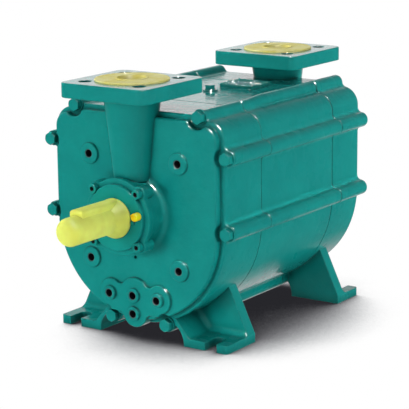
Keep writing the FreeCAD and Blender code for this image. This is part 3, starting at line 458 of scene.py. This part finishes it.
def wrinkle(x, y):
    """Height of the paint's wrinkles at a place on the pad."""
    place = Vector((x * WRINKLES_PER_METRE[0], y * WRINKLES_PER_METRE[1], 0.0))
    return WRINKLE_HEIGHT * abs(field.fractal(place, WRINKLE_FALL, WRINKLE_FINER, WRINKLE_OCTAVES))


def pad_vertex(bm, i, j, base):
    """Vertex of the pad's skin at a grid place; the rim stays low."""
    x = PAD_LOW[0] + (PAD_HIGH[0] - PAD_LOW[0]) * i / PAD_STEPS
    y = PAD_LOW[1] + (PAD_HIGH[1] - PAD_LOW[1]) * j / PAD_STEPS
    rim = i in (0, PAD_STEPS) or j in (0, PAD_STEPS)
    rise = PAD_SKIN / 2.0 if rim else PAD_SKIN + wrinkle(x, y)
    return bm.verts.new((x, y, base + rise))


def make_deck_pad_skin():
    """Thin closed skin of wrinkled paint over the rough pad on the deck."""
    bm = bmesh.new()
    base = PAD_TOP + FIT_GAP
    rows = [[pad_vertex(bm, i, j, base) for j in range(PAD_STEPS + 1)] for i in range(PAD_STEPS + 1)]
    for row, following in zip(rows, rows[1:]):
        for step in range(PAD_STEPS):
            bm.faces.new((row[step], following[step], following[step + 1], row[step + 1]))
    far_side = [row[-1] for row in rows[1:]]
    near_side = [row[0] for row in rows[-2:0:-1]]
    rim = rows[0] + far_side + rows[-1][-2::-1] + near_side
    foot = [bm.verts.new((vert.co.x, vert.co.y, base)) for vert in rim]
    join_rings(bm, rim, foot)
    bm.faces.new(foot)
    add_piece("deck_pad_skin", bm, (rough_enamel,))


def aim(place, target):
    """Turn that points an object's -Z from its place to a target."""
    return (Vector(target) - Vector(place)).to_track_quat("-Z", "Y")


def softbox(name, place, target, width, height, power, spread=180.0, gloss_only=False):
    """Rectangular lamp that points at a target.

    A plain one isn't seen in gloss, and one for gloss alone adds no plain light.
    """
    lamp = bpy.data.lights.new(name, "AREA")
    lamp.shape = "RECTANGLE"
    lamp.size = width
    lamp.size_y = height
    lamp.energy = power
    lamp.spread = math.radians(spread)
    holder = bpy.data.objects.new(name, lamp)
    holder.location = place
    holder.rotation_euler = aim(place, target).to_euler()
    holder.visible_diffuse = not gloss_only
    holder.visible_glossy = gloss_only
    bpy.context.scene.collection.objects.link(holder)


def background_ray(tree):
    """Value that is 1 for a ray from the camera and for one that gloss or glass sends on."""
    path = tree.nodes.new("ShaderNodeLightPath")
    seen = larger(tree, path.outputs["Is Camera Ray"], path.outputs["Is Glossy Ray"])
    return larger(tree, seen, path.outputs["Is Transmission Ray"])


def split_by_ray(tree, lit, seen, output):
    """Gives one shader to the plain light and the other to the camera, gloss and glass."""
    mix = tree.nodes.new("ShaderNodeMixShader")
    tree.links.new(background_ray(tree), mix.inputs["Fac"])
    tree.links.new(lit, mix.inputs[1])
    tree.links.new(seen, mix.inputs[2])
    tree.links.new(mix.outputs["Shader"], output.inputs["Surface"])


def make_sky():
    """World that is white to the eye and lights the object from a bright horizon and dim ceiling."""
    world = bpy.data.worlds.new("studio")
    bpy.context.scene.world = world
    world.use_nodes = True
    tree = world.node_tree
    tree.nodes.clear()
    output = tree.nodes.new("ShaderNodeOutputWorld")
    seen = tree.nodes.new("ShaderNodeBackground")
    seen.inputs["Color"].default_value = grey(1.0)
    lit = tree.nodes.new("ShaderNodeBackground")
    lit.inputs["Strength"].default_value = SKY_STRENGTH
    place = tree.nodes.new("ShaderNodeTexCoord")
    split = tree.nodes.new("ShaderNodeSeparateXYZ")
    tree.links.new(place.outputs["Generated"], split.inputs["Vector"])
    sky = ramp(tree, split.outputs["Z"], (0.0, HORIZON), (0.3, LOW_SKY), (0.8, CEILING))
    tree.links.new(sky, lit.inputs["Color"])
    split_by_ray(tree, lit.outputs["Background"], seen.outputs["Background"], output)


def hang_lamps():
    """Four softboxes for plain light, and a strip overhead for the paint's gloss."""
    softbox("side_box", (1.5, 0.75, 0.14), (0.0, 0.0, 0.1), width=1.2, height=0.24, power=15.6)
    softbox("front_box", (-0.9, -2.7, 0.5), (0.0, 0.0, -0.1), width=1.2, height=0.9, power=4.3,
            spread=60.0)
    softbox("fill_box", (1.15, -1.75, 0.5), (0.0, 0.0, 0.1), width=1.0, height=0.8, power=8.5)
    softbox("top_box", (-1.8, 0.2, 1.6), (0.0, 0.0, 0.3), width=1.2, height=1.2, power=32.0)
    softbox("top_strip", (0.8, -0.65, 2.2), (0.0, 0.0, 0.2), width=0.35, height=0.7, power=1400.0,
            gloss_only=True)


def painted_floor_shadow(tree):
    """Painted shadow on the floor: its tone by how much of the leaning sky it sees past the object."""
    contact = tree.nodes.new("ShaderNodeAmbientOcclusion")
    contact.inputs["Distance"].default_value = SHADOW_REACH
    surface = tree.nodes.new("ShaderNodeNewGeometry")
    lean = tree.nodes.new("ShaderNodeVectorMath")
    lean.operation = "ADD"
    lean.inputs[1].default_value = SKY_LEAN
    tree.links.new(surface.outputs["Normal"], lean.inputs[0])
    tree.links.new(lean.outputs["Vector"], contact.inputs["Normal"])
    return ramp(tree, contact.outputs["AO"], *SHADOW_TONES)


def floor_paint():
    """Plain pale floor; its open part is white to the eye, as the backdrop is, and near the object the
    eye sees a painted shadow.

    Gloss sees it without the shadow, so the belly of the pump has a pale streak.
    """
    material = bpy.data.materials.new("floor_paint")
    material.use_nodes = True
    tree = material.node_tree
    tree.nodes.clear()
    output = tree.nodes.new("ShaderNodeOutputMaterial")
    plain = tree.nodes.new("ShaderNodeBsdfDiffuse")
    plain.inputs["Color"].default_value = grey(FLOOR_TONE)
    path = tree.nodes.new("ShaderNodeLightPath")
    tone = tree.nodes.new("ShaderNodeMixRGB")
    tone.inputs["Color2"].default_value = grey(FLOOR_IN_GLOSS)
    tree.links.new(path.outputs["Is Glossy Ray"], tone.inputs["Fac"])
    tree.links.new(painted_floor_shadow(tree), tone.inputs["Color1"])
    paper = tree.nodes.new("ShaderNodeEmission")
    tree.links.new(tone.outputs["Color"], paper.inputs["Color"])
    split_by_ray(tree, plain.outputs["BSDF"], paper.outputs["Emission"], output)
    return material


def lay_floor():
    """Flat floor under the object."""
    mesh = bpy.data.meshes.new("floor")
    corners = [(FLOOR_REACH * a, FLOOR_REACH * b, 0.0) for a, b in ((-1, -1), (1, -1), (1, 1), (-1, 1))]
    mesh.from_pydata(corners, [], [(0, 1, 2, 3)])
    mesh.materials.append(floor_paint())
    floor = bpy.data.objects.new("floor", mesh)
    bpy.context.scene.collection.objects.link(floor)


def set_camera():
    """Camera at the photograph's place, with its focal length and roll."""
    data = bpy.data.cameras.new("camera")
    data.sensor_width = SENSOR_WIDTH
    data.lens = FOCAL_PIXELS * SENSOR_WIDTH / IMAGE_PIXELS
    data.clip_end = 100.0
    camera = bpy.data.objects.new("camera", data)
    bpy.context.scene.collection.objects.link(camera)
    turn = aim(CAMERA_PLACE, CAMERA_TARGET).to_matrix() @ Matrix.Rotation(CAMERA_ROLL, 3, "Z")
    camera.matrix_world = Matrix.Translation(CAMERA_PLACE) @ turn.to_4x4()
    bpy.context.scene.camera = camera


dress_nodes()
make_port_threads()
make_screw_sockets()
make_deck_pad_skin()
make_sky()
hang_lamps()
lay_floor()
set_camera()
bpy.context.scene.view_settings.view_transform = "Standard"
